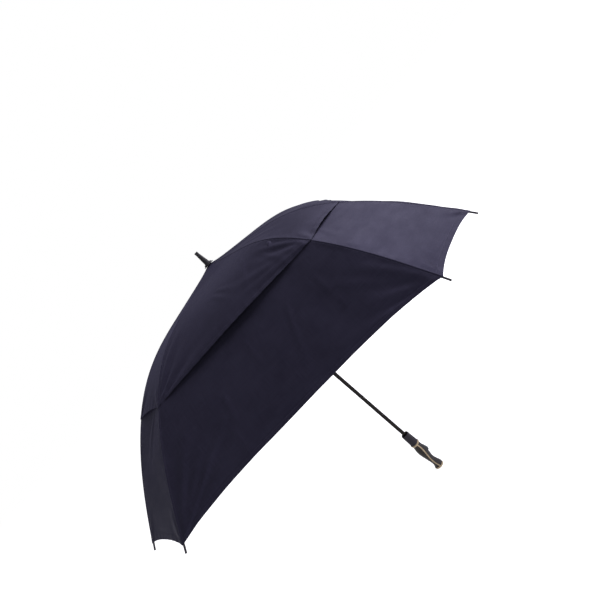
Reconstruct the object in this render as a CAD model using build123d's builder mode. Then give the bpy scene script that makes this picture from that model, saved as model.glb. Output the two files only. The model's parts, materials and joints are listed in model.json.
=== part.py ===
"""Golf umbrella with a vented double canopy, eight ribs in four corner pairs and a shaped grip.

Millimetres. The origin is the middle of the handle's end face, and +Z runs up the shaft to the ferrule.
The umbrella is modelled open. Each rib has a frame of its own: X outwards, Y up the shaft, Z sideways.
"""

import os
from math import atan2, cos, degrees, hypot, radians, sin

from build123d import *

# --- Overall sizes ---
CROWN_Z = 947.5
TIP_Z = 1000.0
HANDLE_TOP_Z = 160.0

# --- Shaft ---
SHAFT_R = 6.0
SHAFT_BORE_R = 5.0
SHAFT_BOTTOM_Z = 20.0
SHAFT_TOP_Z = CROWN_Z + 24.0

# --- Rib layout: four corners, and a rib this far to each side of a corner ---
CORNERS = (-135.0, -45.0, 45.0, 135.0)
PAIR_HALF_ANGLE = 9.88
WIDE_HALF_ANGLE = 45.0 - PAIR_HALF_ANGLE

# --- Rib: radius from the shaft and drop below the crown, from the hinge outwards ---
RIB_PROFILE = [(24.0, 8.0), (160.0, 30.5), (320.0, 66.6), (480.0, 167.4), (560.0, 247.2), (632.0, 332.8)]
RIB_R = 1.75
RIB_END = (640.0, 342.9)
HINGE_R = 15.0
HINGE_DROP = 5.2
BLADE_R = 34.0
BLADE_DROP = 10.7
BLADE_THICK = 2.4
EYE_R = 2.2
WIRE_R = 0.7
EYE_HOLE_R = 0.8
ROD_OVERLAP = 3.0

# --- Rib fittings ---
TIP_LENGTH = 19.0
TIP_R = 2.25
TIP_BORE = 12.4
TIP_ROUND = 1.35
CLIP_LENGTH = 12.0
CLIP_R = 2.6
FIT_GAP = 0.1

# --- Linkage ---
JOINT_R = 360.0
JOINT_DROP = 86.5
RUNNER_HINGE_R = 16.0
RUNNER_HINGE_Z = 702.5
TRAVEL = 465.67
STRETCHER_R = 1.6
SIDE_STEP = 4.5
STEP_START = 26.0
STEP_END = 50.0
STEP_BEND_R = 14.0
STRETCHER_EYE_R = 2.6
STRETCHER_EYE_THICK = 3.0
STRETCHER_BLADE = 15.0
RIVET_HEAD_R = 2.1
RIVET_HEAD = 0.9

# --- Hubs ---
SLOT_WIDTH = 3.0
SLOT_START_R = 12.0
HUB_R = 19.0
HUB_BEVEL = 2.0
NOTCH_TOP = 3.8
NOTCH_BOTTOM = 12.0
RUNNER_BORE_R = 6.1
SLEEVE_R = 9.0
SLEEVE_BELOW = 84.0
SLEEVE_ABOVE = 8.0
RING_ABOVE = 3.0
RING_BELOW = 5.5
LATCH_GROOVE_R = 8.0
LATCH_GROOVE = (1.5, 4.8)

# --- Opening spring, its plunger and the stop ---
PLUNGER_R = 4.8
PLUNGER_HEIGHT = 12.0
PLUNGER_BEVEL = 0.6
PLUNGER_BELOW_HINGE = 20.0
DRIVE_PIN_R = 1.0
DRIVE_PIN_REACH = 8.5
SHAFT_SLOT = 2.4
SPRING_COIL_R = 4.0
SPRING_WIRE_R = 0.6
SPRING_TURNS = 38
STOP_PIN_R = 1.0
STOP_PIN_LENGTH = 18.0
STOP_PIN_BEVEL = 0.3
STOP_PIN_GAP = 0.5

# --- Ferrule ---
ROSETTE_R = 16.0
ROSETTE = (3.0, 5.6)
ROSETTE_ROUND = 1.4
COLLAR_R = 12.5
COLLAR_TOP = 9.6
COLLAR_BEVEL = 1.5
CONE_BASE_R = 8.2
TIP_BAND_R = 5.25
TIP_BAND = 8.0
FERRULE_GAP = 0.2

# --- Canopy: cloth is drawn thicker than it is, and each gore half stops just short of its neighbour ---
CLOTH = 0.5
LOWER_LIFT = 3.8
UPPER_LIFT = 5.2
LOWER_RADII = (320.0, 632.0)
UPPER_RADII = (8.6, 434.0)
SEAM_GAP = 0.15
# Share of the cloth's reach that the hem keeps half-way between two ribs: wide panel, narrow panel.
LOWER_HEM_KEEPS = (0.955, 0.976)
UPPER_HEM_KEEPS = (0.995, 0.990)

# --- Handle: height, reach towards the thumb (+X), reach towards the palm (-X), half depth ---
GRIP_SECTIONS = [
    (7.0, 15.2, 15.8, 13.4),
    (14.0, 14.8, 12.6, 12.2),
    (32.0, 9.8, 12.4, 11.4),
    (60.0, 12.0, 16.4, 13.2),
    (80.0, 15.0, 18.0, 14.2),
    (100.0, 13.4, 15.4, 12.8),
    (111.0, 13.2, 13.4, 12.8),
]
CORE_R = 7.5
CORE_BORE_R = 6.05
CORE_FLOOR_Z = 7.0
RING_Z = (111.0, 118.0)
RING_R = 15.5
RING_ROUND = 2.0
NECK_BASE_R = 14.0
NECK_TOP_R = 12.8
NECK_RIBS = 9
NECK_RIB_DEPTH = 0.7
NECK_GROOVE = (0.70, 0.78, 0.92)
MOUTH_R = 9.6
MOUTH_DEPTH = 10.0
END_CAP_HEIGHT = 7.0
END_CAP_OVERHANG = 0.4
END_CAP_ROUNDS = (2.4, 0.8)
INLAY_WIDTH = 3.6
INLAY_LINE = [(3.0, 112.0), (4.5, 92.0), (0.5, 62.0), (-2.5, 34.0), (2.5, 6.0)]

# --- Thumb button and the latch lever that it tips ---
LEVER_X = (9.2, 10.6)
LEVER_HALF_WIDTH = 2.0
LEVER_Z = (74.0, 157.5)
PIVOT_Z = 130.0
PIVOT_R = 1.2
PIVOT_HALF_LENGTH = 6.0
PIVOT_GAP = 0.05
PIVOT_END_GAP = 0.3
TOOTH_X = 8.3
TOOTH_HEIGHT = 2.0
TOOTH_BEVEL = 0.6
CHANNEL_X = (7.6, 12.0)
CHANNEL_Z = (72.0, HANDLE_TOP_Z + 1.0)
CHANNEL_HALF_WIDTH = 3.2
BUTTON_Z = (69.0, 91.0)
BUTTON_TOP_X = 18.6
BUTTON_PEAK_Z = 74.0
BUTTON_UPPER_END_X = 14.6
BUTTON_LOWER_END_X = 16.2
BUTTON_HALF_WIDTH = 5.4
BUTTON_CORNER_R = 2.8
BUTTON_ROUND = 1.2
BUTTON_GROOVES = 4
BUTTON_GROOVE_PITCH = 3.2
BUTTON_GROOVE = (6.0, 1.2)
BUTTON_GROOVE_DEPTH = 0.5
BUTTON_GROOVE_START = 8.0
POCKET_GAP = 0.6
POCKET_CORNER_R = 3.0
PRESS_ROOM = 3.7
BUTTON_SPRING_Y = 4.3
BUTTON_SPRING_R = 1.1
BUTTON_SPRING_WIRE_R = 0.17
BUTTON_SPRING_X = (6.95, 10.55)
BUTTON_SPRING_TURNS = 3

os.makedirs("parts", exist_ok=True)


def rib_plane(azimuth):
    """The upright plane through the shaft at this azimuth: X outwards, Y up, Z sideways."""
    a = radians(azimuth)
    return Plane(origin=(0, 0, 0), x_dir=(cos(a), sin(a), 0), z_dir=(sin(a), -cos(a), 0))


def save(piece, name):
    piece.part.label = name
    export_step(piece.part, f"parts/{name}.step")


def side_points(azimuth, offset, points):
    """Points given as (radius, height), in the upright plane at azimuth, moved sideways by offset."""
    a = radians(azimuth)
    out, side = Vector(cos(a), sin(a), 0), Vector(-sin(a), cos(a), 0)
    return [out * r + side * offset + Vector(0, 0, z) for r, z in points]


def ribs():
    """(number, azimuth, side): side is +1 where the wide panel is counter-clockwise from the rib."""
    found = []
    for corner in CORNERS:
        found.append((len(found) + 1, corner - PAIR_HALF_ANGLE, -1))
        found.append((len(found) + 1, corner + PAIR_HALF_ANGLE, 1))
    return found


def canopy_curve(inner, outer):
    """The rib's own profile between two radii, as (radius, drop)."""
    line = [(r, drop) for r, drop in RIB_PROFILE if inner < r < outer]
    return [(inner, profile_drop(inner))] + line + [(outer, profile_drop(outer))]


with BuildLine() as profile:
    Spline(*[(r, -drop) for r, drop in RIB_PROFILE])


def profile_drop(radius):
    """The rib's drop at a radius; inside the first profile point it runs straight to the hinge."""
    first_r, first_drop = RIB_PROFILE[0]
    if radius <= first_r:
        return HINGE_DROP + (first_drop - HINGE_DROP) * (radius - HINGE_R) / (first_r - HINGE_R)
    low, high = 0.0, 1.0
    for _ in range(40):
        middle = (low + high) / 2
        if (profile.line @ middle).X < radius:
            low = middle
        else:
            high = middle
    return -(profile.line @ low).Y


# --- Ribs, their clips and tips ---
def make_rib(number, azimuth):
    frame = rib_plane(azimuth)
    angle = degrees(atan2(HINGE_DROP - BLADE_DROP, BLADE_R - HINGE_R))
    middle = ((HINGE_R + BLADE_R) / 2, CROWN_Z - (HINGE_DROP + BLADE_DROP) / 2)
    blade = hypot(BLADE_R - HINGE_R, BLADE_DROP - HINGE_DROP)
    with BuildPart() as rib:
        with BuildLine(frame) as centre:
            Spline(*[(r, CROWN_Z - drop) for r, drop in RIB_PROFILE])
        with BuildSketch(Plane(origin=centre.line @ 0, z_dir=centre.line % 0)):
            Circle(RIB_R)
        sweep()
        with BuildSketch(frame.offset(-BLADE_THICK / 2)):
            with Locations(middle):
                SlotCenterToCenter(blade, 2 * EYE_R, rotation=angle)
        extrude(amount=BLADE_THICK)
        with BuildSketch(frame):
            with Locations((HINGE_R, CROWN_Z - HINGE_DROP)):
                Circle(EYE_HOLE_R)
        extrude(amount=BLADE_THICK, both=True, mode=Mode.SUBTRACT)
    save(rib, f"rib_{number}")


def make_rib_fittings(number, azimuth):
    """The moulded clip round the rib at the stretcher's joint, and the tip that caps its end."""
    frame = rib_plane(azimuth)
    slope = profile.line % 1.0
    end = Vector(RIB_END[0], CROWN_Z - RIB_END[1], 0)
    tip = Plane(
        origin=frame.from_local_coords(end - slope * TIP_LENGTH),
        z_dir=frame.from_local_coords(slope) - frame.origin,
    )
    fall = profile_drop(JOINT_R + 1) - profile_drop(JOINT_R - 1)
    clip = Plane(
        origin=frame.from_local_coords(Vector(JOINT_R, CROWN_Z - profile_drop(JOINT_R), 0)),
        z_dir=frame.from_local_coords(Vector(2, -fall, 0)) - frame.origin,
    )
    with BuildPart() as fittings:
        with BuildSketch(tip):
            Circle(TIP_R)
        extrude(amount=TIP_LENGTH)
        rings = fittings.edges().filter_by(GeomType.CIRCLE)
        fillet(rings.sort_by(Axis(tip.origin, tip.z_dir))[-1], TIP_ROUND)
        with BuildSketch(tip):
            Circle(RIB_R + FIT_GAP)
        extrude(amount=TIP_BORE, mode=Mode.SUBTRACT)
        with BuildSketch(clip):
            Circle(CLIP_R)
            Circle(RIB_R + FIT_GAP, mode=Mode.SUBTRACT)
        extrude(amount=CLIP_LENGTH / 2, both=True)
    save(fittings, f"rib_fittings_{number}")


# --- Stretchers, which step sideways so that they pass beside their ribs ---
def make_stretcher(number, azimuth, side):
    frame = rib_plane(azimuth)
    joint_z = CROWN_Z - JOINT_DROP
    reach, rise = JOINT_R - RUNNER_HINGE_R, joint_z - RUNNER_HINGE_Z
    length = hypot(reach, rise)
    along = frame.from_local_coords(Vector(reach / length, rise / length, 0)) - frame.origin
    lift = frame.from_local_coords(Vector(-rise / length, reach / length, 0)) - frame.origin
    hinge = frame.from_local_coords(Vector(RUNNER_HINGE_R, RUNNER_HINGE_Z, 0))
    lay = Plane(origin=hinge, x_dir=along, z_dir=lift)
    step = side * SIDE_STEP
    upright = Plane(origin=hinge, x_dir=along, z_dir=along.cross(lift))
    outward = lay.y_dir.dot(upright.z_dir) * step
    with BuildPart() as stretcher:
        with BuildLine(lay) as centre:
            FilletPolyline(
                (STRETCHER_BLADE - ROD_OVERLAP, 0),
                (STEP_START, 0),
                (STEP_END, step),
                (length, step),
                radius=STEP_BEND_R,
            )
        with BuildSketch(Plane(origin=centre.line @ 0, z_dir=centre.line % 0)):
            Circle(STRETCHER_R)
        sweep()
        with BuildSketch(upright.offset(-BLADE_THICK / 2)):
            with Locations((STRETCHER_BLADE / 2, 0)):
                SlotCenterToCenter(STRETCHER_BLADE, 2 * EYE_R)
        extrude(amount=BLADE_THICK)
        with BuildSketch(upright):
            Circle(EYE_HOLE_R)
        extrude(amount=BLADE_THICK, both=True, mode=Mode.SUBTRACT)
        with BuildSketch(upright.offset(outward - STRETCHER_EYE_THICK / 2)):
            with Locations((length, 0)):
                Circle(STRETCHER_EYE_R)
        extrude(amount=STRETCHER_EYE_THICK)
        if outward > 0:
            head = outward + STRETCHER_EYE_THICK / 2
        else:
            head = outward - STRETCHER_EYE_THICK / 2 - RIVET_HEAD
        with BuildSketch(upright.offset(head)):
            with Locations((length, 0)):
                Circle(RIVET_HEAD_R)
        extrude(amount=RIVET_HEAD)
    save(stretcher, f"stretcher_{number}")


# --- Canopy ---
def gore_half(azimuth, direction, half_angle, keeps, inner, outer, lift):
    """One sheet from a rib's seam to the mid-line of the panel beside it, straight across in each row."""
    line = canopy_curve(inner, outer)
    seam = [(r, CROWN_Z - drop + lift) for r, drop in line]
    middle = []
    for r, drop in line:
        share = (r - inner) / (outer - inner)
        kept = inner + (r - inner) * (1 - (1 - keeps) * share)
        middle.append((kept * cos(radians(half_angle)), CROWN_Z - profile_drop(kept) + lift))
    with BuildLine() as seam_line:
        Spline(*side_points(azimuth, direction * SEAM_GAP, seam))
    with BuildLine() as middle_line:
        Spline(*side_points(azimuth + direction * half_angle, -direction * SEAM_GAP, middle))
    return Face.make_surface_from_curves(seam_line.line.edge(), middle_line.line.edge())


def make_canopy(number, azimuth, side, radii, lift, hem_keeps, name):
    with BuildPart() as cloth:
        for direction, half_angle, keeps in (
            (side, WIDE_HALF_ANGLE, hem_keeps[0]),
            (-side, PAIR_HALF_ANGLE, hem_keeps[1]),
        ):
            sheet = gore_half(azimuth, direction, half_angle, keeps, *radii, lift)
            up = CLOTH if sheet.normal_at().Z > 0 else -CLOTH
            thicken(sheet, amount=up)
    save(cloth, f"{name}_{number}")


for number, azimuth, side in ribs():
    make_rib(number, azimuth)
    make_rib_fittings(number, azimuth)
    make_stretcher(number, azimuth, side)
    make_canopy(number, azimuth, side, LOWER_RADII, LOWER_LIFT, LOWER_HEM_KEEPS, "canopy_lower")
    make_canopy(number, azimuth, side, UPPER_RADII, UPPER_LIFT, UPPER_HEM_KEEPS, "canopy_upper")


# --- Hubs: a slot for each rib or stretcher, all threaded on one wire ---
def hub_slots(bottom, height):
    """The eight slots that a hub is cut with, as one tool."""
    with BuildPart() as slots:
        for _, azimuth, _ in ribs():
            with BuildSketch(rib_plane(azimuth).offset(-SLOT_WIDTH / 2)):
                with Locations(((SLOT_START_R + HUB_R + 1) / 2, bottom + height / 2)):
                    Rectangle(HUB_R + 1 - SLOT_START_R, height)
            extrude(amount=SLOT_WIDTH)
    return slots.part


def make_wire(radius, height, name):
    with BuildPart() as wire:
        with Locations((0, 0, height)):
            Torus(radius, WIRE_R)
    save(wire, name)


NOTCH_HINGE_Z = CROWN_Z - HINGE_DROP
notch_slots = hub_slots(CROWN_Z - NOTCH_BOTTOM - 1, NOTCH_BOTTOM)
with BuildPart() as top_notch:
    with BuildSketch(Plane.XY.offset(CROWN_Z - NOTCH_BOTTOM)):
        Circle(HUB_R)
        Circle(SHAFT_R, mode=Mode.SUBTRACT)
    extrude(amount=NOTCH_BOTTOM - NOTCH_TOP)
    bottom_rings = top_notch.edges().filter_by(GeomType.CIRCLE).group_by(Axis.Z)[0]
    chamfer(bottom_rings.sort_by(SortBy.LENGTH)[-1], HUB_BEVEL)
    add(notch_slots, mode=Mode.SUBTRACT)
    with Locations((0, 0, NOTCH_HINGE_Z)):
        Torus(HINGE_R, WIRE_R, mode=Mode.SUBTRACT)
save(top_notch, "top_notch")
make_wire(HINGE_R, NOTCH_HINGE_Z, "notch_wire")

SLEEVE_BOTTOM_Z = RUNNER_HINGE_Z - SLEEVE_BELOW
PLUNGER_TOP_Z = RUNNER_HINGE_Z - PLUNGER_BELOW_HINGE
DRIVE_PIN_Z = PLUNGER_TOP_Z - PLUNGER_HEIGHT / 2
runner_slots = hub_slots(RUNNER_HINGE_Z - RING_BELOW - 1, RING_ABOVE + RING_BELOW + 2)
with BuildPart() as runner:
    with BuildSketch(Plane.XY.offset(RUNNER_HINGE_Z - RING_BELOW)):
        Circle(HUB_R)
    extrude(amount=RING_ABOVE + RING_BELOW)
    chamfer(runner.edges().filter_by(GeomType.CIRCLE).group_by(Axis.Z)[0], HUB_BEVEL)
    add(runner_slots, mode=Mode.SUBTRACT)
    with BuildSketch(Plane.XY.offset(SLEEVE_BOTTOM_Z)):
        Circle(SLEEVE_R)
    extrude(amount=SLEEVE_BELOW + SLEEVE_ABOVE)
    with BuildSketch(Plane.XY.offset(SLEEVE_BOTTOM_Z + LATCH_GROOVE[0])):
        Circle(SLEEVE_R + 1)
        Circle(LATCH_GROOVE_R, mode=Mode.SUBTRACT)
    extrude(amount=LATCH_GROOVE[1] - LATCH_GROOVE[0], mode=Mode.SUBTRACT)
    with BuildSketch(Plane.XY.offset(SLEEVE_BOTTOM_Z)):
        Circle(RUNNER_BORE_R)
    extrude(amount=SLEEVE_BELOW + SLEEVE_ABOVE, mode=Mode.SUBTRACT)
    with BuildSketch(Plane.YZ.offset(-SLEEVE_R)):
        with Locations((0, DRIVE_PIN_Z)):
            Circle(DRIVE_PIN_R)
    extrude(amount=2 * SLEEVE_R, mode=Mode.SUBTRACT)
    with Locations((0, 0, RUNNER_HINGE_Z)):
        Torus(RUNNER_HINGE_R, WIRE_R, mode=Mode.SUBTRACT)
save(runner, "runner")
make_wire(RUNNER_HINGE_R, RUNNER_HINGE_Z, "runner_wire")

# --- Plunger inside the shaft, whose cross pin drives the runner through the shaft's slots ---
with BuildPart() as plunger:
    with BuildSketch(Plane.XY.offset(PLUNGER_TOP_Z - PLUNGER_HEIGHT)):
        Circle(PLUNGER_R)
    extrude(amount=PLUNGER_HEIGHT)
    chamfer(plunger.edges().filter_by(GeomType.CIRCLE), PLUNGER_BEVEL)
    with BuildSketch(Plane.YZ.offset(-DRIVE_PIN_REACH)):
        with Locations((0, DRIVE_PIN_Z)):
            Circle(DRIVE_PIN_R)
    extrude(amount=2 * DRIVE_PIN_REACH)
save(plunger, "spring_plunger")

# --- Shaft tube ---
SLOT_LOW_Z = DRIVE_PIN_Z - TRAVEL - SHAFT_SLOT
SLOT_HIGH_Z = DRIVE_PIN_Z + SHAFT_SLOT
STOP_PIN_Z = RUNNER_HINGE_Z + SLEEVE_ABOVE + STOP_PIN_R + STOP_PIN_GAP
with BuildPart() as shaft:
    with BuildSketch(Plane.XY.offset(SHAFT_BOTTOM_Z)):
        Circle(SHAFT_R)
        Circle(SHAFT_BORE_R, mode=Mode.SUBTRACT)
    extrude(amount=SHAFT_TOP_Z - SHAFT_BOTTOM_Z)
    with BuildSketch(Plane.YZ.offset(-SHAFT_R)):
        with Locations((0, (SLOT_LOW_Z + SLOT_HIGH_Z) / 2)):
            SlotOverall(SLOT_HIGH_Z - SLOT_LOW_Z, SHAFT_SLOT, rotation=90)
    extrude(amount=2 * SHAFT_R, mode=Mode.SUBTRACT)
    with BuildSketch(Plane.YZ.offset(-SHAFT_R)):
        with Locations((0, STOP_PIN_Z)):
            Circle(STOP_PIN_R)
    extrude(amount=2 * SHAFT_R, mode=Mode.SUBTRACT)
save(shaft, "shaft")

with BuildPart() as stop_pin:
    with BuildSketch(Plane.YZ.offset(-STOP_PIN_LENGTH / 2)):
        with Locations((0, STOP_PIN_Z)):
            Circle(STOP_PIN_R)
    extrude(amount=STOP_PIN_LENGTH)
    chamfer(stop_pin.edges().filter_by(GeomType.CIRCLE), STOP_PIN_BEVEL)
save(stop_pin, "stop_pin")


# --- Springs ---
def coil(plane, radius, wire_r, height, turns):
    """A round wire wound on a helix that climbs plane's Z from its origin."""
    with BuildPart() as wound:
        with BuildLine():
            Helix(
                pitch=height / turns,
                height=height,
                radius=radius,
                center=plane.origin,
                direction=plane.z_dir,
            )
        path = wound.pending_edges[0]
        with BuildSketch(Plane(origin=path @ 0, z_dir=path % 0)):
            Circle(wire_r)
        sweep(is_frenet=True)
    return wound.part


spring_low = SHAFT_BOTTOM_Z + SPRING_WIRE_R + FIT_GAP
spring_high = PLUNGER_TOP_Z - PLUNGER_HEIGHT - SPRING_WIRE_R - FIT_GAP
spring_length = spring_high - spring_low
main_coil = coil(Plane.XY.offset(spring_low), SPRING_COIL_R, SPRING_WIRE_R, spring_length, SPRING_TURNS)
with BuildPart() as opening_spring:
    add(main_coil)
save(opening_spring, "opening_spring")

coil_base = BUTTON_SPRING_X[0] + BUTTON_SPRING_WIRE_R
coil_end = BUTTON_SPRING_X[1] - BUTTON_SPRING_WIRE_R
small_coils = [
    coil(
        Plane(origin=(coil_base, y, sum(BUTTON_Z) / 2), z_dir=(1, 0, 0)),
        BUTTON_SPRING_R,
        BUTTON_SPRING_WIRE_R,
        coil_end - coil_base,
        BUTTON_SPRING_TURNS,
    )
    for y in (-BUTTON_SPRING_Y, BUTTON_SPRING_Y)
]
with BuildPart() as button_springs:
    add(small_coils)
save(button_springs, "button_springs")

# --- Ferrule and the rosette that clamps the cloth under it ---
with BuildPart() as rosette:
    with BuildSketch(Plane.XY.offset(CROWN_Z + ROSETTE[0])):
        Circle(ROSETTE_R)
        Circle(SHAFT_R, mode=Mode.SUBTRACT)
    extrude(amount=ROSETTE[1] - ROSETTE[0])
    top_rings = rosette.edges().filter_by(GeomType.CIRCLE).group_by(Axis.Z)[-1]
    fillet(top_rings.sort_by(SortBy.LENGTH)[-1], ROSETTE_ROUND)
save(rosette, "rosette")

with BuildPart() as ferrule:
    with BuildSketch(Plane.XZ):
        with BuildLine():
            Polyline(
                (0, CROWN_Z + ROSETTE[1]),
                (COLLAR_R, CROWN_Z + ROSETTE[1]),
                (COLLAR_R, CROWN_Z + COLLAR_TOP - COLLAR_BEVEL),
                (COLLAR_R - COLLAR_BEVEL, CROWN_Z + COLLAR_TOP),
                (CONE_BASE_R, CROWN_Z + COLLAR_TOP),
                (TIP_BAND_R, TIP_Z - TIP_BAND),
                (TIP_BAND_R, TIP_Z),
                (0, TIP_Z),
                close=True,
            )
        make_face()
    revolve(axis=Axis.Z)
    with BuildSketch(Plane.XY.offset(CROWN_Z + ROSETTE[1])):
        Circle(SHAFT_R)
    extrude(amount=SHAFT_TOP_Z - CROWN_Z - ROSETTE[1] + FERRULE_GAP, mode=Mode.SUBTRACT)
save(ferrule, "ferrule")


# --- Handle ---
# The channel that the latch lever tips in, and the button's pocket, as cutting tools.
with BuildPart() as lever_room:
    with BuildSketch(Plane.XY.offset(CHANNEL_Z[0])):
        with Locations((sum(CHANNEL_X) / 2, 0)):
            Rectangle(CHANNEL_X[1] - CHANNEL_X[0], 2 * CHANNEL_HALF_WIDTH)
    extrude(amount=CHANNEL_Z[1] - CHANNEL_Z[0])

with BuildPart() as button_pocket:
    with BuildSketch(Plane.YZ.offset(LEVER_X[1] - PRESS_ROOM)):
        with Locations((0, sum(BUTTON_Z) / 2)):
            RectangleRounded(
                2 * (BUTTON_HALF_WIDTH + POCKET_GAP),
                BUTTON_Z[1] - BUTTON_Z[0] + 2 * POCKET_GAP,
                POCKET_CORNER_R,
            )
    extrude(amount=BUTTON_TOP_X)

with BuildPart() as handle_core:
    with BuildSketch(Plane.XY.offset(CORE_FLOOR_Z)):
        Circle(CORE_R)
    extrude(amount=RING_Z[1] - CORE_FLOOR_Z)
    with BuildSketch(Plane.XY.offset(SHAFT_BOTTOM_Z)):
        Circle(CORE_BORE_R)
    extrude(amount=RING_Z[1] - SHAFT_BOTTOM_Z, mode=Mode.SUBTRACT)
    add(button_pocket.part, mode=Mode.SUBTRACT)
save(handle_core, "handle_core")


# The whole grip's outer shape, hollow round the core: the rubber, the back and the inlay are cut from it.
with BuildPart() as grip:
    for z, front, back, depth in GRIP_SECTIONS:
        with BuildSketch(Plane.XY.offset(z)):
            with Locations(((front - back) / 2, 0)):
                Ellipse((front + back) / 2, depth)
    loft()
    with BuildSketch(Plane.XY.offset(CORE_FLOOR_Z)):
        Circle(CORE_R)
    extrude(amount=RING_Z[1] - CORE_FLOOR_Z, mode=Mode.SUBTRACT)
    add(lever_room.part, mode=Mode.SUBTRACT)
    add(button_pocket.part, mode=Mode.SUBTRACT)


def grip_slice(shift_low, shift_high):
    """What lies between the inlay's line moved along X by the two shifts, as a tool."""
    with BuildPart() as between:
        with BuildSketch(Plane.XZ):
            with BuildLine():
                front_edge = Spline(*[(x + shift_high, z) for x, z in INLAY_LINE])
                back_edge = Spline(*[(x + shift_low, z) for x, z in INLAY_LINE])
                Line(front_edge @ 0, back_edge @ 0)
                Line(front_edge @ 1, back_edge @ 1)
            make_face()
        extrude(amount=2 * RING_R, both=True)
    return between.part


rubber_side = grip_slice(INLAY_WIDTH / 2, 3 * RING_R)
back_side = grip_slice(-3 * RING_R, -INLAY_WIDTH / 2)
inlay_band = grip_slice(-INLAY_WIDTH / 2, INLAY_WIDTH / 2)

with BuildPart() as grip_rubber:
    add(grip.part)
    add(rubber_side, mode=Mode.INTERSECT)
save(grip_rubber, "grip_rubber")

with BuildPart() as grip_back:
    add(grip.part)
    add(back_side, mode=Mode.INTERSECT)
save(grip_back, "grip_back")

with BuildPart() as gold_inlay:
    add(grip.part)
    add(inlay_band, mode=Mode.INTERSECT)
save(gold_inlay, "gold_inlay")

with BuildPart() as gold_ring:
    with BuildSketch(Plane.XY.offset(RING_Z[0])):
        Circle(RING_R)
        Circle(CORE_R, mode=Mode.SUBTRACT)
    extrude(amount=RING_Z[1] - RING_Z[0])
    fillet(gold_ring.edges().filter_by(GeomType.CIRCLE).sort_by(SortBy.LENGTH)[-2:], RING_ROUND)
    add(lever_room.part, mode=Mode.SUBTRACT)
save(gold_ring, "gold_ring")

with BuildPart() as handle_neck:
    with BuildSketch(Plane.XZ):
        with BuildLine():
            pitch = (HANDLE_TOP_Z - RING_Z[1]) / NECK_RIBS
            outline = [(CORE_BORE_R, RING_Z[1])]
            for i in range(NECK_RIBS):
                z = RING_Z[1] + i * pitch
                r = NECK_BASE_R + (NECK_TOP_R - NECK_BASE_R) * i / (NECK_RIBS - 1)
                outline += [
                    (r, z),
                    (r, z + NECK_GROOVE[0] * pitch),
                    (r - NECK_RIB_DEPTH, z + NECK_GROOVE[1] * pitch),
                    (r - NECK_RIB_DEPTH, z + NECK_GROOVE[2] * pitch),
                ]
            outline += [(NECK_TOP_R - NECK_RIB_DEPTH, HANDLE_TOP_Z), (CORE_BORE_R, HANDLE_TOP_Z)]
            Polyline(*outline, close=True)
        make_face()
    revolve(axis=Axis.Z)
    with BuildSketch(Plane.XY.offset(HANDLE_TOP_Z - MOUTH_DEPTH)):
        Circle(MOUTH_R)
    extrude(amount=MOUTH_DEPTH, mode=Mode.SUBTRACT)
    add(lever_room.part, mode=Mode.SUBTRACT)
    with BuildSketch(Plane.XZ):
        with Locations((sum(LEVER_X) / 2, PIVOT_Z)):
            Circle(PIVOT_R + PIVOT_GAP)
    extrude(amount=PIVOT_HALF_LENGTH + PIVOT_END_GAP, both=True, mode=Mode.SUBTRACT)
save(handle_neck, "handle_neck")

with BuildPart() as end_cap:
    _, front, back, depth = GRIP_SECTIONS[0]
    with BuildSketch(Plane.XY):
        with Locations(((front - back) / 2, 0)):
            Ellipse((front + back) / 2 + END_CAP_OVERHANG, depth + END_CAP_OVERHANG)
    extrude(amount=END_CAP_HEIGHT)
    fillet(end_cap.edges().group_by(Axis.Z)[0], END_CAP_ROUNDS[0])
    fillet(end_cap.edges().group_by(Axis.Z)[-1], END_CAP_ROUNDS[1])
save(end_cap, "end_cap")

# --- Latch lever and thumb button ---
with BuildPart() as latch_lever:
    with BuildSketch(Plane.XZ):
        with BuildLine():
            Polyline(
                (LEVER_X[0], LEVER_Z[0]),
                (LEVER_X[1], LEVER_Z[0]),
                (LEVER_X[1], LEVER_Z[1]),
                (TOOTH_X + TOOTH_BEVEL, LEVER_Z[1]),
                (TOOTH_X, LEVER_Z[1] - TOOTH_HEIGHT + TOOTH_BEVEL),
                (TOOTH_X, LEVER_Z[1] - TOOTH_HEIGHT),
                (LEVER_X[0], LEVER_Z[1] - TOOTH_HEIGHT),
                close=True,
            )
        make_face()
    extrude(amount=LEVER_HALF_WIDTH, both=True)
    with BuildSketch(Plane.XZ):
        with Locations((sum(LEVER_X) / 2, PIVOT_Z)):
            Circle(PIVOT_R)
    extrude(amount=PIVOT_HALF_LENGTH, both=True)
save(latch_lever, "latch_lever")

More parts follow.
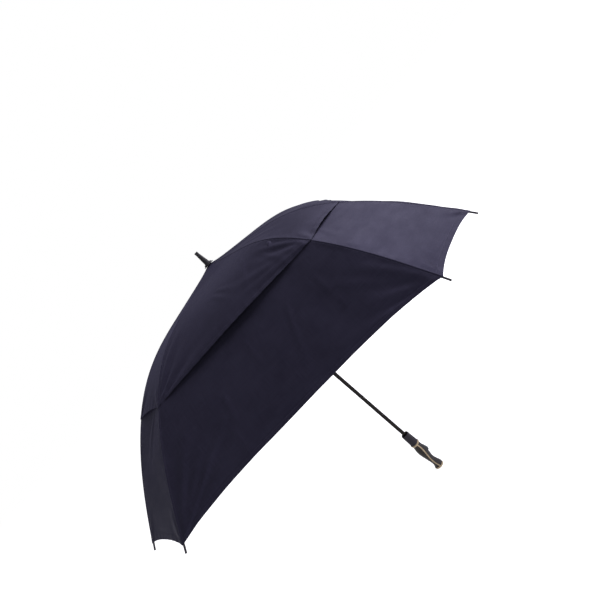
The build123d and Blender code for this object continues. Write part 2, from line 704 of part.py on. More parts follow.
with BuildPart() as button:
    with BuildSketch(Plane.YZ.offset(LEVER_X[1])):
        with Locations((0, sum(BUTTON_Z) / 2)):
            RectangleRounded(2 * BUTTON_HALF_WIDTH, BUTTON_Z[1] - BUTTON_Z[0], BUTTON_CORNER_R)
    extrude(amount=BUTTON_TOP_X - LEVER_X[1])
    with BuildSketch(Plane.XZ):
        with BuildLine():
            Polyline(
                (LEVER_X[1], BUTTON_Z[0]),
                (BUTTON_LOWER_END_X, BUTTON_Z[0]),
                (BUTTON_TOP_X, BUTTON_PEAK_Z),
                (BUTTON_UPPER_END_X, BUTTON_Z[1]),
                (LEVER_X[1], BUTTON_Z[1]),
                close=True,
            )
        make_face()
    extrude(amount=BUTTON_HALF_WIDTH, both=True, mode=Mode.INTERSECT)
    slope = Plane(
        origin=(BUTTON_TOP_X, 0, BUTTON_PEAK_Z),
        x_dir=(0, 1, 0),
        z_dir=(BUTTON_Z[1] - BUTTON_PEAK_Z, 0, BUTTON_TOP_X - BUTTON_UPPER_END_X),
    )
    slope_face = button.faces().sort_by(Axis(slope.origin, slope.z_dir))[-1]
    fillet(slope_face.edges(), BUTTON_ROUND)
    with BuildSketch(slope.offset(-BUTTON_GROOVE_DEPTH)):
        with Locations((0, BUTTON_GROOVE_START)):
            with GridLocations(0, BUTTON_GROOVE_PITCH, 1, BUTTON_GROOVES):
                SlotOverall(*BUTTON_GROOVE)
    extrude(amount=2 * BUTTON_GROOVE_DEPTH, mode=Mode.SUBTRACT)
save(button, "button")
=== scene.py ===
"""The looks of a vented golf umbrella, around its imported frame. Metres, +Z up the shaft to the ferrule.

The cloth is made panel by panel: each panel spans two ribs, and is cut along its mid-line, so that
each half rides on its own rib and folds with it.
"""

import json
from math import atan2, cos, hypot, pi, radians, sin

import bpy
import numpy as np
from mathutils import Matrix, Vector


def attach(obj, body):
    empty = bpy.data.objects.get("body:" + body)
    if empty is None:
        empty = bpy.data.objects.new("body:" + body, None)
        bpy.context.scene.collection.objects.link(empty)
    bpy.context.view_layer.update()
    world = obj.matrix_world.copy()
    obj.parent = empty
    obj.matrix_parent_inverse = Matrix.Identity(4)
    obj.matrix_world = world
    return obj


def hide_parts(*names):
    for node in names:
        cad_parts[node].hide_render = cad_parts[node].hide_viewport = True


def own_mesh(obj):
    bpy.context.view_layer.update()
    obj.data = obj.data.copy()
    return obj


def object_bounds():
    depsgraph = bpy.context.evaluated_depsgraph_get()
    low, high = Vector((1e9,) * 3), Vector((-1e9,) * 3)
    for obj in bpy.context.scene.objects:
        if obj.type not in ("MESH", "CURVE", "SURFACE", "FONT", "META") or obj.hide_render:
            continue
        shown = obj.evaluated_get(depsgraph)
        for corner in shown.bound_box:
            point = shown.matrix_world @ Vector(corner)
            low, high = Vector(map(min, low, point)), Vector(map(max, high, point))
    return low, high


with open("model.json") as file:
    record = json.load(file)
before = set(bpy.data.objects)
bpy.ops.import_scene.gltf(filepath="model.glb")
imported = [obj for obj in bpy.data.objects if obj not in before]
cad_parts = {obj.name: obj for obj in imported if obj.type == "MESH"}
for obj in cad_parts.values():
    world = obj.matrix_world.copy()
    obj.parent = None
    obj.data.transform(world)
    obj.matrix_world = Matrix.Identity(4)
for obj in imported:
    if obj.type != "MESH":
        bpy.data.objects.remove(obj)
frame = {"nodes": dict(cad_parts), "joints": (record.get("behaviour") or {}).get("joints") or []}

cad_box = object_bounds()
SEED = 41

# --- Ribs, read from the frame ---
RIBS = 8
JOINTS = {joint["name"]: joint for joint in frame["joints"]}
RIB_TUBE_START = 0.025
RIB_LINE_END = 0.65
RIB_SIDE_SHARE = 0.985

# --- Cloth ---
CLOTH = 0.0004
SEAM_GAP = 0.00015
HEM_WIDTH = 0.011
HEM_STEP = 0.00035
ROWS_NEAR_HEM = (0.0, 0.0008, 0.002, 0.005, 0.0092, 0.0106, 0.0120, 0.0145)
# Each layer: radii at the seam, height over the rib, rows, and per kind of panel the hem's pull at the
# middle, how flat its curve is, the sag between the ribs, and how far the hem stands off.
LAYERS = {
    "lower": {
        "radii": (0.320, 0.632),
        "lift": 0.0042,
        "rows": 74,
        "wide": {"pull": 0.0140, "power": 4.0, "sag": (0.012, 0.004), "stand_off": 0.0},
        "narrow": {"pull": 0.0066, "power": 2.6, "sag": (0.0035, 0.0015), "stand_off": 0.0},
    },
    "upper": {
        "radii": (0.0086, 0.434),
        "lift": 0.0056,
        "rows": 84,
        "wide": {"pull": 0.0021, "power": 3.0, "sag": (0.0, 0.004), "stand_off": 0.004},
        "narrow": {"pull": 0.0042, "power": 2.4, "sag": (0.0, 0.001), "stand_off": 0.002},
    },
}
COLUMNS = {"wide": 144, "narrow": 48}
COLUMNS_BY_SEAM = 12
SEAM_TAPE = ((0.0026, -0.0002), (0.0018, 0.0003), (0.0008, 0.0005))
SEAM_TAPE_TOP = 0.0006
THREAD_PITCH = 0.0011
STITCH_LENGTH = 0.0032
HEM_STITCH_AT = 0.0098
SEAM_STITCH_AT = 0.0040
TAPE_STITCH_AT = 0.0014
AWAY_FROM_HEM = 0.05
SLUBS_PER_METRE = (900.0, 22.0)
GRIP_RIB_PITCH = 0.0034
GRIP_RIB_TILT = 0.35

# --- Camera: place, view direction and the direction of the picture's right side ---
CAMERA_AT = Vector((0.259, -1.365, 0.933))
CAMERA_FORWARD = Vector((-0.11625, 0.97789, -0.17382))
CAMERA_RIGHT = Vector((0.67539, -0.05049, -0.73574))
CAMERA_LENS = 28.947
CAMERA_SENSOR = 36.0
KEY_DIRECTION = Vector((0.73, 0.12, 0.66))


# ---------------------------------------------------------------- materials
class Nodes:
    """A short way to build a node tree: makes nodes, sets their inputs and links them."""

    def __init__(self, tree):
        self.tree = tree
        tree.nodes.clear()

    def add(self, kind, inputs=None, **settings):
        node = self.tree.nodes.new("ShaderNode" + kind)
        for name, value in settings.items():
            setattr(node, name, value)
        for name, value in (inputs or {}).items():
            if isinstance(value, bpy.types.NodeSocket):
                self.tree.links.new(value, node.inputs[name])
            else:
                node.inputs[name].default_value = value
        return node

    def maths(self, operation, first, second=0.0, clamp=False):
        return self.add("Math", {0: first, 1: second}, operation=operation, use_clamp=clamp).outputs[0]

    def between(self, value, low, high, out_low=0.0, out_high=1.0):
        """value taken from low..high to out_low..out_high, held at the ends."""
        names = {"Value": value, "From Min": low, "From Max": high, "To Min": out_low, "To Max": out_high}
        return self.add("MapRange", names).outputs[0]

    def blend(self, share, first, second):
        """The colour between two colours, or two colour sockets."""
        node = self.add("Mix", data_type="RGBA")
        for index, value in ((0, share), (6, first), (7, second)):
            if isinstance(value, bpy.types.NodeSocket):
                self.tree.links.new(value, node.inputs[index])
            else:
                node.inputs[index].default_value = value
        return node.outputs[2]

    def stretched(self, place, factors):
        return self.add("VectorMath", {0: place, 1: factors}, operation="MULTIPLY").outputs[0]

    def noise(self, place, scale, detail=3.0, roughness=0.5):
        names = {"Vector": place, "Scale": scale, "Detail": detail, "Roughness": roughness}
        return self.add("TexNoise", names).outputs["Fac"]

    def bump(self, height, distance, strength, normal=None):
        names = {"Height": height, "Distance": distance, "Strength": strength}
        if normal is not None:
            names["Normal"] = normal
        return self.add("Bump", names).outputs[0]


def new_material(name):
    made = bpy.data.materials.new(name)
    made.use_nodes = True
    return made, Nodes(made.node_tree)


def shader_of(nodes, **sockets):
    """A Principled shader with these sockets, linked to the output."""
    shader = nodes.add("BsdfPrincipled", {name.replace("_", " "): value for name, value in sockets.items()})
    nodes.add("OutputMaterial", {"Surface": shader.outputs[0]})
    return shader


def object_place(nodes):
    return nodes.add("TexCoord").outputs["Object"]


def worn_edges(nodes, low=0.53, high=0.62):
    """1 on the sharp outer edges of a solid, broken up by noise."""
    point = nodes.add("NewGeometry").outputs["Pointiness"]
    grit = nodes.noise(object_place(nodes), 420.0, 4.0)
    return nodes.maths("MULTIPLY", nodes.between(point, low, high), nodes.between(grit, 0.45, 0.62))


def cloth_material():
    """Black pongee with a violet sheen: plain weave, sewn hem with a painted shade line along its step, seam
    puckers and faint rubbed creases.
    """
    made, nodes = new_material("canopy_cloth")
    place = nodes.add("Attribute", attribute_name="cloth_place").outputs["Vector"]
    split = nodes.add("SeparateXYZ", {0: place})
    across, along, hem = split.outputs
    seam = nodes.add("Attribute", attribute_name="cloth_seam").outputs["Fac"]

    # Weave: threads over and under, with some threads thicker than their neighbours.
    thread = 2 * pi / THREAD_PITCH
    warp = nodes.maths("SINE", nodes.maths("MULTIPLY", across, thread))
    weft = nodes.maths("SINE", nodes.maths("MULTIPLY", along, thread))
    weave = nodes.between(nodes.maths("MULTIPLY", warp, weft), -1.0, 1.0)
    thick, thin = SLUBS_PER_METRE
    warp_slub = nodes.noise(nodes.stretched(place, (thick, thin, 0.0)), 1.0)
    weft_slub = nodes.noise(nodes.stretched(place, (thin, thick, 0.0)), 1.0)
    slub = nodes.maths("MULTIPLY", warp_slub, weft_slub)

    # A row of stitches in the hem, and one beside each seam.
    hem_dash = nodes.maths("PINGPONG", across, STITCH_LENGTH / 2)
    seam_dash = nodes.maths("PINGPONG", along, STITCH_LENGTH / 2)
    on_hem = nodes.between(hem_dash, 0.0003, 0.0005)
    on_seam = nodes.between(seam_dash, 0.0003, 0.0005)

    def row(distance, at, dash):
        off = nodes.maths("ABSOLUTE", nodes.maths("SUBTRACT", distance, at))
        return nodes.maths("MULTIPLY", nodes.between(off, 0.0002, 0.00045, 1.0, 0.0), dash)

    stitches = nodes.maths("MAXIMUM", row(hem, HEM_STITCH_AT, on_hem), row(seam, SEAM_STITCH_AT, on_seam))
    from_fold = nodes.maths("ABSOLUTE", nodes.maths("SUBTRACT", hem, HEM_WIDTH))
    hem_step_shade = nodes.between(from_fold, 0.0, 0.0012, 1.0, 0.0)

    patches = nodes.noise(place, 7.0, 3.0)
    cloudy = nodes.between(nodes.noise(place, 38.0, 4.0), 0.3, 0.7)
    patchy = nodes.between(patches, 0.35, 0.65)
    base = nodes.blend(patchy, (0.0120, 0.0108, 0.0178, 1), (0.0158, 0.0143, 0.0236, 1))
    base = nodes.blend(nodes.maths("MULTIPLY", cloudy, 0.35), base, (0.0205, 0.0192, 0.0300, 1))
    base = nodes.blend(nodes.between(slub, 0.18, 0.34, 0.0, 0.45), base, (0.0240, 0.0226, 0.0360, 1))
    # Painted shade: a dark line where the hem's double layer steps down to the single cloth.
    base = nodes.blend(nodes.maths("MULTIPLY", hem_step_shade, 0.5), base, (0.0060, 0.0055, 0.0085, 1))
    base = nodes.blend(nodes.maths("MULTIPLY", stitches, 0.75), base, (0.0340, 0.0320, 0.0470, 1))

    fine = nodes.bump(weave, 0.00012, 0.35)
    threads = nodes.bump(slub, 0.0004, 0.25, fine)
    sewn = nodes.bump(stitches, 0.0004, 0.6, threads)
    rough = nodes.between(cloudy, 0.0, 1.0, 0.52, 0.60)
    shader_of(
        nodes,
        Base_Color=base,
        Roughness=rough,
        Normal=sewn,
        Specular_IOR_Level=0.125,
        Specular_Tint=(0.46, 0.43, 1.0, 1.0),
        Sheen_Weight=0.05,
        Sheen_Roughness=0.45,
        Sheen_Tint=(0.60, 0.56, 1.0, 1.0),
    )
    return made


def moulded_material(name, dark, light, roughness, grain, scale=2600.0, wear=0.35, coat=0.0, shine=0.3):
    """Moulded or painted surface: fine grain, slow colour change, rubbed edges."""
    made, nodes = new_material(name)
    place = object_place(nodes)
    slow = nodes.between(nodes.noise(place, 34.0, 4.0), 0.3, 0.7)
    fine = nodes.noise(place, scale, 2.0)
    base = nodes.blend(slow, (*dark, 1), (*light, 1))
    rubbed = tuple(2.4 * c + 0.012 for c in light)
    base = nodes.blend(nodes.maths("MULTIPLY", worn_edges(nodes), wear), base, (*rubbed, 1))
    rough = nodes.between(slow, 0.0, 1.0, roughness - 0.05, roughness + 0.07)
    shader_of(
        nodes,
        Base_Color=base,
        Roughness=rough,
        Normal=nodes.bump(fine, 0.0002, grain),
        Specular_IOR_Level=shine,
        Coat_Weight=coat,
        Coat_Roughness=0.12,
    )
    return made


def shaft_material():
    """Black lacquered tube: drawing lines along it, and fine rub marks round it where the runner slides."""
    made, nodes = new_material("shaft_black")
    place = object_place(nodes)
    lines = nodes.noise(nodes.stretched(place, (1.0, 1.0, 0.012)), 1500.0, 3.0)
    rings = nodes.stretched(place, (0.05, 0.05, 1.0))
    rubs = nodes.between(nodes.noise(rings, 160.0, 5.0, 0.7), 0.56, 0.72)
    base = nodes.blend(lines, (0.0048, 0.0034, 0.0030, 1), (0.0100, 0.0072, 0.0062, 1))
    base = nodes.blend(nodes.maths("MULTIPLY", rubs, 0.35), base, (0.026, 0.020, 0.017, 1))
    rough = nodes.between(rubs, 0.0, 1.0, 0.27, 0.42)
    shader_of(nodes, Base_Color=base, Roughness=rough, Normal=nodes.bump(lines, 0.0001, 0.25),
              Specular_IOR_Level=0.10)
    return made


def metal_material(name, dark, light, roughness):
    """Bare or plated metal with a brushed grain and brighter edges."""
    made, nodes = new_material(name)
    place = object_place(nodes)
    grain = nodes.noise(nodes.stretched(place, (1.0, 1.0, 14.0)), 700.0, 4.0, 0.6)
    slow = nodes.between(nodes.noise(place, 60.0, 3.0), 0.3, 0.7)
    base = nodes.blend(slow, (*dark, 1), (*light, 1))
    bright = tuple(min(1.0, 1.25 * c) for c in light)
    base = nodes.blend(nodes.maths("MULTIPLY", worn_edges(nodes), 0.6), base, (*bright, 1))
    rough = nodes.between(grain, 0.3, 0.7, roughness - 0.06, roughness + 0.08)
    shader_of(nodes, Base_Color=base, Roughness=rough, Metallic=1.0, Normal=nodes.bump(grain, 0.00008, 0.4))
    return made


def rubber_material():
    """Soft black rubber: moulded grip ribs across the fingers, a fine matt grain and dust in the grooves."""
    made, nodes = new_material("grip_rubber")
    place = object_place(nodes)
    split = nodes.add("SeparateXYZ", {0: place})
    height = nodes.maths("ADD", split.outputs[2], nodes.maths("MULTIPLY", split.outputs[1], GRIP_RIB_TILT))
    wave = nodes.maths("SINE", nodes.maths("MULTIPLY", height, 2 * pi / GRIP_RIB_PITCH))
    ribs = nodes.between(wave, -0.35, 0.55)
    grain = nodes.noise(place, 2400.0, 3.0)
    grooves = nodes.between(ribs, 0.0, 0.5, 1.0, 0.0)
    dusty = nodes.maths("MULTIPLY", grooves, nodes.between(nodes.noise(place, 260.0), 0.4, 0.7))
    slow = nodes.between(nodes.noise(place, 90.0), 0.35, 0.65)
    base = nodes.blend(slow, (0.0125, 0.0105, 0.0125, 1), (0.0200, 0.0170, 0.0195, 1))
    base = nodes.blend(nodes.maths("MULTIPLY", dusty, 0.5), base, (0.034, 0.031, 0.033, 1))
    ribbed = nodes.bump(ribs, 0.0006, 0.75)
    shader_of(nodes, Base_Color=base, Roughness=nodes.between(grain, 0.3, 0.7, 0.62, 0.78),
              Normal=nodes.bump(grain, 0.00015, 0.4, ribbed), Specular_IOR_Level=0.4)
    return made


def ringed_rubber_material():
    """The neck's rubber: painted shade in rings along the moulded grooves, over a fine matt grain."""
    made, nodes = new_material("neck_rubber")
    place = object_place(nodes)
    groove_shade = nodes.between(nodes.add("NewGeometry").outputs["Pointiness"], 0.44, 0.50, 1.0, 0.0)
    grain = nodes.noise(place, 2200.0, 3.0)
    slow = nodes.between(nodes.noise(place, 60.0), 0.35, 0.65)
    base = nodes.blend(slow, (0.016, 0.013, 0.020, 1), (0.027, 0.023, 0.032, 1))
    # Painted shade: the moulded grooves, found by low pointiness, are darkened towards near-black.
    base = nodes.blend(nodes.maths("MULTIPLY", groove_shade, 0.8), base, (0.005, 0.004, 0.006, 1))
    base = nodes.blend(nodes.maths("MULTIPLY", worn_edges(nodes), 0.3), base, (0.060, 0.055, 0.066, 1))
    shader_of(nodes, Base_Color=base, Roughness=nodes.between(grain, 0.3, 0.7, 0.56, 0.72),
              Normal=nodes.bump(grain, 0.0002, 0.5), Specular_IOR_Level=0.25)
    return made


def floor_material():
    """A pale studio floor that gives off most of its own light, so that shadows on it stay faint."""
    made, nodes = new_material("studio_floor")
    shader_of(nodes, Base_Color=(0.9, 0.9, 0.9, 1), Roughness=0.9, Specular_IOR_Level=0.0,
              Emission_Color=(1, 1, 1, 1), Emission_Strength=0.86)
    return made


# Moulded and painted finishes: dark and light colour, roughness, grain, and what differs from the usual.
MATERIALS = {
    "canopy_cloth": cloth_material(),
    "shaft_black": shaft_material(),
    "rib_black": moulded_material(
        "rib_black", (0.010, 0.010, 0.011), (0.018, 0.018, 0.019), 0.42, 0.3, scale=1800.0
    ),
    "black_plastic": moulded_material(
        "black_plastic", (0.011, 0.010, 0.013), (0.019, 0.018, 0.022), 0.50, 0.35
    ),
    "black_gloss": moulded_material(
        "black_gloss", (0.0070, 0.0045, 0.0030), (0.0140, 0.0090, 0.0060), 0.20, 0.05,
        scale=900.0, wear=0.2, coat=0.12, shine=0.16,
    ),
    "black_rubber": rubber_material(),
    "neck_rubber": ringed_rubber_material(),
    "gold": metal_material("champagne_gold", (0.21, 0.16, 0.105), (0.31, 0.25, 0.17), 0.38),
    "button_grey": moulded_material(
        "button_grey", (0.026, 0.032, 0.038), (0.042, 0.050, 0.058), 0.48, 0.3
    ),
    "steel": metal_material("spring_steel", (0.36, 0.36, 0.37), (0.55, 0.55, 0.56), 0.30),
}
NODE_FINISHES = {
    "shaft": "shaft_black",
    "ferrule": "black_plastic",
    "rosette": "black_plastic",
    "top_notch": "black_plastic",
    "runner": "black_plastic",
    "notch_wire": "steel",
    "runner_wire": "steel",
    "stop_pin": "steel",
    "opening_spring": "steel",
    "button_springs": "steel",
    "spring_plunger": "steel",
    "latch_lever": "rib_black",
    "handle_core": "black_plastic",
    "handle_neck": "neck_rubber",
    "gold_ring": "gold",
    "gold_inlay": "gold",
    "end_cap": "gold",
    "grip_rubber": "black_rubber",
    "grip_back": "black_gloss",
    "button": "button_grey",
}


def finish_nodes():
    for name, node in frame["nodes"].items():
        if name.startswith("canopy"):
            continue
        finish = NODE_FINISHES.get(name, "rib_black")
        if name.startswith("rib_fittings"):
            finish = "black_plastic"
        for index in range(len(node.material_slots)):
            node.material_slots[index].material = MATERIALS[finish]


# ---------------------------------------------------------------- the ribs' line
def vertices_of(obj):
    points = np.zeros(len(obj.data.vertices) * 3)
    obj.data.vertices.foreach_get("co", points)
    return points.reshape(-1, 3)


def rib_azimuth(number):
    axis = JOINTS[f"rib_{number}_hinge"]["axis"]
    return atan2(-axis[0], axis[1])


HINGE = Vector(JOINTS["rib_1_hinge"]["pos_m"])
HINGE_R = hypot(HINGE.x, HINGE.y)


def fit_rib_line():
    """Height of a rib's centre line over radius. A tube's outermost vertices sideways lie level with it."""
    points, turn = vertices_of(frame["nodes"]["rib_1"]), rib_azimuth(1)
    out = points[:, 0] * cos(turn) + points[:, 1] * sin(turn)
    side = np.abs(points[:, 1] * cos(turn) - points[:, 0] * sin(turn))
    level = (side > RIB_SIDE_SHARE * side.max()) & (out > RIB_TUBE_START)
    return np.polynomial.Polynomial.fit(out[level], points[level, 2], 9)


RIB_LINE = fit_rib_line()
RADII = np.linspace(0.0, RIB_LINE_END, 1301)
START_Z = RIB_LINE(RIB_TUBE_START)
STRAIGHT = HINGE.z + (START_Z - HINGE.z) * (RADII - HINGE_R) / (RIB_TUBE_START - HINGE_R)
HEIGHTS = np.where(RADII < RIB_TUBE_START, STRAIGHT, RIB_LINE(np.maximum(RADII, RIB_TUBE_START)))
LENGTHS = np.concatenate([[0.0], np.cumsum(np.hypot(np.diff(RADII), np.diff(HEIGHTS)))])


def rib_height(radius):
    return np.interp(radius, RADII, HEIGHTS)


def slope_length(radius):
    return np.interp(radius, RADII, LENGTHS)


# ---------------------------------------------------------------- cloth
def smooth_step(value, low, high):
    t = np.clip((value - low) / (high - low), 0.0, 1.0)
    return t * t * (3 - 2 * t)


def crease(x, y, start, angle, length, height, width):
    """A ridge with a trough on each side, running from start at this angle and fading at both ends."""
    along = (x - start[0]) * cos(angle) + (y - start[1]) * sin(angle)
    off = (y - start[1]) * cos(angle) - (x - start[0]) * sin(angle)
    spread = width * (1 + 4.0 * np.clip(along, 0, None) / max(length, 0.05) * 0.35)
    shape = (1 - (off / spread) ** 2) * np.exp(-0.5 * (off / spread) ** 2)
    rise = smooth_step(along, 0.0, 0.18 * length)
    return height * shape * rise * (1 - smooth_step(along, 0.4 * length, length))


def relief(x, y, half_width, length, kind, layer, draw):
    """Creases pulled from the corners, puckers at the seams and the hem, and a slow unevenness."""
    wide = kind == "wide"
    seam = half_width - np.abs(x)
    hem = length - y
    height = np.zeros_like(x)
    hem_half = half_width.max()
    for side in (-1, 1):
        corner = (side * hem_half, length)
        seam_angle = atan2(-length, -side * (hem_half - half_width.min()))
        for step in range(4 if wide else 2):
            turn = radians(draw.uniform(7, 15) + 13.0 * step) * (1 if side < 0 else -1)
            reach = draw.uniform(0.16, 0.34) if wide else draw.uniform(0.06, 0.12)
            tall = draw.uniform(0.0012, 0.0024) * (1.0 if wide else 0.55)
            height += crease(x, y, corner, seam_angle + turn, reach, tall, draw.uniform(0.0045, 0.0085))
    if layer == "lower":
        for side in (-1, 1):
            corner = (side * half_width.min(), 0.0)
            for step in range(3 if wide else 1):
                turn = radians(draw.uniform(20, 80))
                angle = turn if side < 0 else pi - turn
                reach = draw.uniform(0.07, 0.16) * (1.0 if wide else 0.5)
                height += crease(x, y, corner, angle, reach, draw.uniform(0.0007, 0.0015), 0.006)
    for _ in range(5 if wide else 1):
        start = (draw.uniform(-0.6, 0.6) * hem_half, draw.uniform(0.2, 0.75) * length)
        height += crease(x, y, start, radians(draw.uniform(60, 120)), draw.uniform(0.10, 0.24),
                         draw.uniform(0.0004, 0.0009), 0.005)
    for wave in range(5):
        long = draw.uniform(0.07, 0.20)
        angle, phase = draw.uniform(0, pi), draw.uniform(0, 2 * pi)
        height += 0.00032 * np.sin(2 * pi * (x * cos(angle) + y * sin(angle)) / long + phase)
    pucker = np.sin(2 * pi * y / 0.024 + 2.0 * np.sin(y / 0.031))
    height += 0.00030 * pucker * np.exp(-((seam - 0.010) / 0.007) ** 2)
    ruffle = np.sin(2 * pi * x / 0.027 + 2.5 * np.sin(x / 0.043))
    height += 0.00045 * ruffle * np.exp(-hem / 0.016)
    return height * smooth_step(seam, 0.0, 0.014)


def panel_grid(layer, kind, half_angle, draw):
    """Points of one whole panel about its own mid plane: X outwards, Y across, Z up.

    Its rows run outwards from the inner edge.
    """
    facts = LAYERS[layer]
    shape = facts[kind]
    inner, outer = facts["radii"]
    width = outer - inner
    coarse = np.linspace(0.0, 1.0, facts["rows"])
    near_hem = 1.0 - np.array(ROWS_NEAR_HEM) / (slope_length(outer) - slope_length(inner))
    shares = np.sort(np.concatenate([coarse[coarse < near_hem.min() - 0.004], near_hem]))
    u, s = np.meshgrid(np.linspace(-1.0, 1.0, COLUMNS[kind] + 1), shares)
    kept = inner + width * s - shape["pull"] * s**2 * (1 - np.abs(u) ** shape["power"])
    half_width = kept * sin(half_angle)
    x = kept * cos(half_angle)
    y = u * (half_width - SEAM_GAP)
    z = rib_height(kept) + facts["lift"]
    slope = (rib_height(kept + 0.001) - rib_height(kept - 0.001)) / 0.002
    size = np.sqrt(slope**2 + cos(half_angle) ** 2)
    normal = np.stack([-slope / size, np.zeros_like(size), cos(half_angle) / size], axis=-1)
    near, far = shape["sag"]
    belly = (1 - u**2) ** 1.5
    if layer == "lower":
        sag = (near + (far - near) * s) * np.sin(pi * (0.35 + 0.65 * s)) ** 0.5
    else:
        sag = far * np.sin(pi * s)
    offset = belly * (shape["stand_off"] * s**4 - sag)
    along = slope_length(kept) - slope_length(inner)
    length = float(slope_length(outer) - slope_length(inner))
    hem = np.maximum(along[-1:, :] - along, 0.0)
    bumps = relief(y, along, half_width, length, kind, layer, draw)
    if layer == "upper":
        bumps = bumps * smooth_step(along, 0.03, 0.12)
    offset = offset + bumps + HEM_STEP * (1 - smooth_step(hem, HEM_WIDTH - 0.0008, HEM_WIDTH + 0.0008))
    points = np.stack([x, y, z], axis=-1) + normal * offset[..., None]
    facts_at = {"across": y, "along": along, "hem": hem, "seam": half_width - np.abs(y)}
    return points, facts_at


def grid_normals(points):
    across = np.gradient(points, axis=1)
    along = np.gradient(points, axis=0)
    normal = np.cross(across, along)
    normal /= np.linalg.norm(normal, axis=-1, keepdims=True)
    return normal if normal[..., 2].mean() > 0 else -normal


def turned(points, azimuth):
    """Points from a panel's own axes to the frame's."""
    c, s = cos(azimuth), sin(azimuth)
    return points @ np.array([[c, s, 0], [-s, c, 0], [0, 0, 1]])


def grid_faces(rows, columns, first=0):
    index = first + np.arange(rows * columns).reshape(rows, columns)
    corners = (index[:-1, :-1], index[:-1, 1:], index[1:, 1:], index[1:, :-1])
    return np.stack(corners, axis=-1).reshape(-1, 4)


def make_mesh(name, points, faces):
    mesh = bpy.data.meshes.new(name)
    mesh.from_pydata(points.tolist(), [], faces)
    mesh.validate()
    mesh.shade_smooth()
    made = bpy.data.objects.new(name, mesh)
    bpy.context.scene.collection.objects.link(made)
    return made


def mark_cloth(mesh, place, seam):
    """The cloth's material, and what it reads: each vertex's place in the cloth and distance from a seam."""
    attribute = mesh.attributes.new("cloth_place", "FLOAT_VECTOR", "POINT")
    attribute.data.foreach_set("vector", place.astype(np.float32).ravel())
    attribute = mesh.attributes.new("cloth_seam", "FLOAT", "POINT")
    attribute.data.foreach_set("value", seam.astype(np.float32))
    mesh.materials.append(MATERIALS["canopy_cloth"])


def closed_cloth(name, top, normals, facts_at):
    """A thin closed sheet with this upper side. Both sides keep the whole panel's normals."""
    rows, columns = top.shape[:2]
    count = rows * columns
    upper = top.reshape(-1, 3)
    out = normals.reshape(-1, 3)
    lower = upper - out * CLOTH
    sheet = grid_faces(rows, columns)
    rim = np.concatenate([
        np.arange(columns),
        np.arange(1, rows) * columns + columns - 1,
        (rows - 1) * columns + np.arange(columns - 2, -1, -1),
        np.arange(rows - 2, 0, -1) * columns,
    ])
    following = np.roll(rim, -1)
    sides = np.stack([following, rim, rim + count, following + count], axis=-1)
    faces = np.concatenate([sheet, sheet[:, ::-1] + count, sides])
    corner = upper[sheet[0, 0]]
    if np.cross(upper[sheet[0, 1]] - corner, upper[sheet[0, 3]] - corner) @ out[0] < 0:
        faces = faces[:, ::-1]
    made = make_mesh(name, np.concatenate([upper, lower]), faces.tolist())
    mesh = made.data
    place = np.stack([facts_at["across"], facts_at["along"], facts_at["hem"]], axis=-1).reshape(-1, 3)
    seam = facts_at["seam"].ravel()
    mark_cloth(mesh, np.concatenate([place, place]), np.concatenate([seam, seam]))
    mesh.normals_split_custom_set_from_vertices(np.concatenate([out, -out]).tolist())
    return made


def fold_with_rib(piece):
    """Gives the piece a mesh of its own; nothing here makes it fold."""
    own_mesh(piece)


def make_panel(layer, rib, following, draw):
    """One panel between two ribs, as two halves.

    Returns what its seams need, and each half with its flat size and area, by its rib's number.
    """
    first, second = rib_azimuth(rib), rib_azimuth(following)
    if second < first:
        second += 2 * pi
    kind = "narrow" if second - first < radians(45) else "wide"
    half_angle, middle = (second - first) / 2, (first + second) / 2
    points, facts_at = panel_grid(layer, kind, half_angle, draw)
    normals = turned(grid_normals(points), middle)
    points = turned(points, middle)
    centre = COLUMNS[kind] // 2
    along, half_width = facts_at["along"], facts_at["seam"] + np.abs(facts_at["across"])
    cut = (float(half_width.max()), float(along.max()))
    widths, steps = half_width.mean(axis=1), np.diff(along.mean(axis=1))
    area = float((steps * (widths[1:] + widths[:-1])).sum() / 2)
    halves = {}
    for number, into, part in ((rib, 1, slice(0, centre + 1)), (following, -1, slice(centre, None))):
        half_facts = {key: value[:, part] for key, value in facts_at.items()}
        piece = closed_cloth(f"cloth_{layer}_{kind}_{number}", points[:, part], normals[:, part], half_facts)
        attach(piece, f"rib_{number}_body")
        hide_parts(f"canopy_{layer}_{number}")
        fold_with_rib(piece)
        halves[number] = (piece, cut, area)
    return (points, normals, facts_at["along"], facts_at["seam"]), halves


def edge_of(panel, at_start, inward):
    """A line beside a panel's seam: points and normals this far into the panel."""
    points, normals, _, seam = panel
    if not at_start:
        points, normals, seam = points[:, ::-1], normals[:, ::-1], seam[:, ::-1]
    line, out = [], []
    for row_points, row_normals, row_seam in zip(points, normals, seam):
        order = np.argsort(row_seam[:COLUMNS_BY_SEAM])
        for found, values in ((line, row_points), (out, row_normals)):
            near = values[order]
            found.append([np.interp(inward, row_seam[order], near[:, axis]) for axis in range(3)])
    return np.array(line), np.array(out)


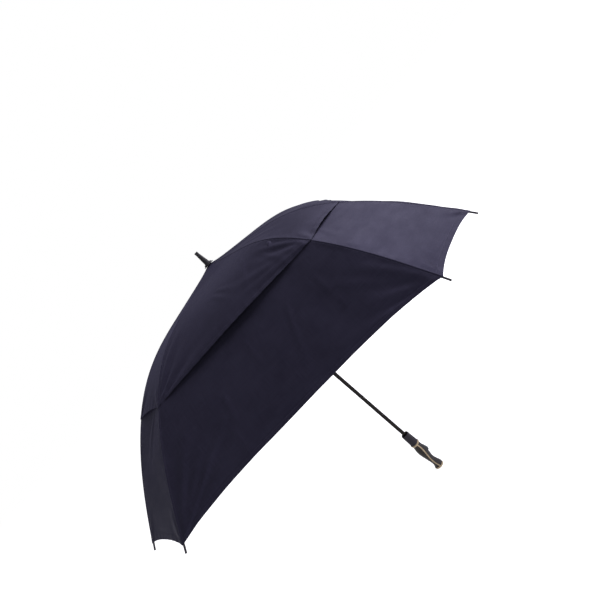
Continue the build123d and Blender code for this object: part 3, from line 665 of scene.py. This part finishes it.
def make_seam(layer, rib, before, after):
    """The felled seam over a rib: a flat strip, crowned a little, closed underneath."""
    rows = []
    for panel, at_start, steps in ((before, False, SEAM_TAPE), (after, True, SEAM_TAPE[::-1])):
        for inward, height in steps:
            line, out = edge_of(panel, at_start, inward)
            rows.append(line + out * height)
    left, left_out = edge_of(before, False, 0.0)
    right, right_out = edge_of(after, True, 0.0)
    crest = (left + right) / 2 + (left_out + right_out) / 2 * SEAM_TAPE_TOP
    base = (left + right) / 2 - (left_out + right_out) / 2 * CLOTH / 2
    section = np.stack([*rows[:3], crest, *rows[3:], base], axis=1)
    count, around = section.shape[:2]
    index = np.arange(count * around).reshape(count, around)
    faces = []
    for i in range(count - 1):
        for j in range(around):
            k = (j + 1) % around
            faces.append([int(index[i, j]), int(index[i, k]), int(index[i + 1, k]), int(index[i + 1, j])])
    faces.append([int(v) for v in index[0][::-1]])
    faces.append([int(v) for v in index[-1]])
    made = make_mesh(f"seam_{layer}_{rib}", section.reshape(-1, 3), faces)
    mesh = made.data
    along = np.repeat(after[2][:, 0], around)
    widths = [inward for inward, _ in SEAM_TAPE]
    across = np.tile([-width for width in widths] + [0.0] + widths[::-1] + [0.0], count)
    place = np.stack([across, along, np.full_like(along, AWAY_FROM_HEM)], axis=-1)
    mark_cloth(mesh, place, np.abs(np.abs(across) - TAPE_STITCH_AT) + SEAM_STITCH_AT)
    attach(made, f"rib_{rib}_body")
    return made


def make_canopy():
    draw = np.random.default_rng(SEED)
    for layer in LAYERS:
        made = {rib: make_panel(layer, rib, rib % RIBS + 1, draw) for rib in range(1, RIBS + 1)}
        for rib in range(1, RIBS + 1):
            before, halves_before = made[(rib - 2) % RIBS + 1]
            after, halves_after = made[rib]
            seam = make_seam(layer, rib, before, after)


# ---------------------------------------------------------------- studio
def make_camera():
    data = bpy.data.cameras.new("camera")
    data.lens = CAMERA_LENS
    data.sensor_width = CAMERA_SENSOR
    data.clip_start, data.clip_end = 0.05, 100.0
    camera = bpy.data.objects.new("camera", data)
    bpy.context.scene.collection.objects.link(camera)
    forward = CAMERA_FORWARD.normalized()
    right = (CAMERA_RIGHT - forward * CAMERA_RIGHT.dot(forward)).normalized()
    up = right.cross(forward)
    camera.matrix_world = Matrix.Translation(CAMERA_AT) @ Matrix((right, up, -forward)).transposed().to_4x4()
    bpy.context.scene.camera = camera


def area_light(name, direction, distance, size, power, colour=(1.0, 1.0, 1.0)):
    """A square soft box that faces the umbrella's middle from this direction."""
    target = (cad_box[0] + cad_box[1]) / 2
    data = bpy.data.lights.new(name, "AREA")
    data.shape, data.size, data.energy, data.color = "SQUARE", size, power, colour
    light = bpy.data.objects.new(name, data)
    bpy.context.scene.collection.objects.link(light)
    away = direction.normalized()
    light.location = target + away * distance
    light.rotation_mode = "QUATERNION"
    light.rotation_quaternion = away.to_track_quat("Z", "Y")


def make_studio():
    world = bpy.data.worlds.new("studio")
    bpy.context.scene.world = world
    world.use_nodes = True
    nodes = Nodes(world.node_tree)
    fill = nodes.add("Background", {"Color": (0.93, 0.94, 1.0, 1), "Strength": 0.22})
    seen = nodes.add("Background", {"Color": (1, 1, 1, 1), "Strength": 1.0})
    share = nodes.add("LightPath").outputs["Is Camera Ray"]
    mixed = nodes.add("MixShader", {0: share, 1: fill.outputs[0], 2: seen.outputs[0]})
    nodes.add("OutputWorld", {"Surface": mixed.outputs[0]})
    area_light("key", KEY_DIRECTION, 3.2, 2.2, 158.0, (0.92, 0.89, 1.0))
    area_light("front_fill", Vector((-0.05, -1.0, 0.35)), 3.4, 2.0, 14.0, (0.9, 0.93, 1.0))
    size = 30.0
    points = np.array([[-size, -size, 0], [size, -size, 0], [size, size, 0], [-size, size, 0]], float)
    floor = make_mesh("studio_floor", points, [[0, 1, 2, 3]])
    floor.data.materials.append(floor_material())
    bpy.context.scene.view_settings.view_transform = "Standard"


make_camera()
make_studio()
finish_nodes()
make_canopy()
